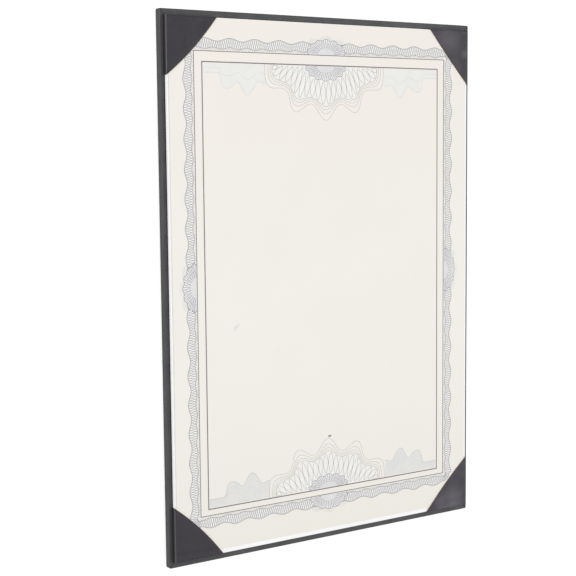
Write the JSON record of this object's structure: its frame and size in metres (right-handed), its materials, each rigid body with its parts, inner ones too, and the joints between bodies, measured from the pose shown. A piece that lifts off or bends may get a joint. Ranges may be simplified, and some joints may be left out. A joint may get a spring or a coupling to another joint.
{
  "type": "diploma cover",
  "caption": "Leatherette-covered board with a raised paper-lined panel, whose corner pockets hold a printed certificate sheet.",
  "frame": {"origin": "middle of the cover's back face, on which it lies", "axes": "+Z out of the front of the cover, +Y towards the certificate's top edge, +X to the right seen from the front"},
  "size_m": [0.2178, 0.3078, 0.0076],
  "materials": {
    "greyboard": "raw pressed grey board",
    "leatherette": "charcoal leatherette with a fine grain and a low sheen",
    "pocket_leatherette": "smooth dark leatherette with a faint purple cast and a satin sheen",
    "lining_paper": "matt white lining paper",
    "certificate_card": "matt ivory card",
    "grey_ink": "fine grey line print",
    "pale_ink": "pale blue-grey line print",
    "line_ink": "purple-grey frame lines"
  },
  "bodies": {
    "root": {"cover_board": "greyboard", "cover_wrap": "leatherette", "inner_board": "greyboard", "panel_lining": "lining_paper", "certificate_sheet": "certificate_card", "corner_pocket_top_left": "pocket_leatherette", "corner_pocket_top_right": "pocket_leatherette", "corner_pocket_bottom_left": "pocket_leatherette", "corner_pocket_bottom_right": "pocket_leatherette", "print_wave_band_top_left": "grey_ink", "print_wave_band_top_right": "grey_ink", "print_wave_band_bottom_left": "grey_ink", "print_wave_band_bottom_right": "grey_ink", "print_outer_line": "line_ink", "print_inner_line": "line_ink", "print_medallion_top": "grey_ink", "print_medallion_left": "grey_ink", "print_medallion_bottom": "grey_ink", "print_medallion_right": "grey_ink", "print_rosette_top": "pale_ink", "print_rosette_core_top": "grey_ink", "print_flank_top_left": "pale_ink", "print_flank_top_right": "pale_ink", "print_rosette_bottom": "pale_ink", "print_rosette_core_bottom": "grey_ink", "print_flank_bottom_left": "pale_ink", "print_flank_bottom_right": "pale_ink"}
  },
  "joints": []
}
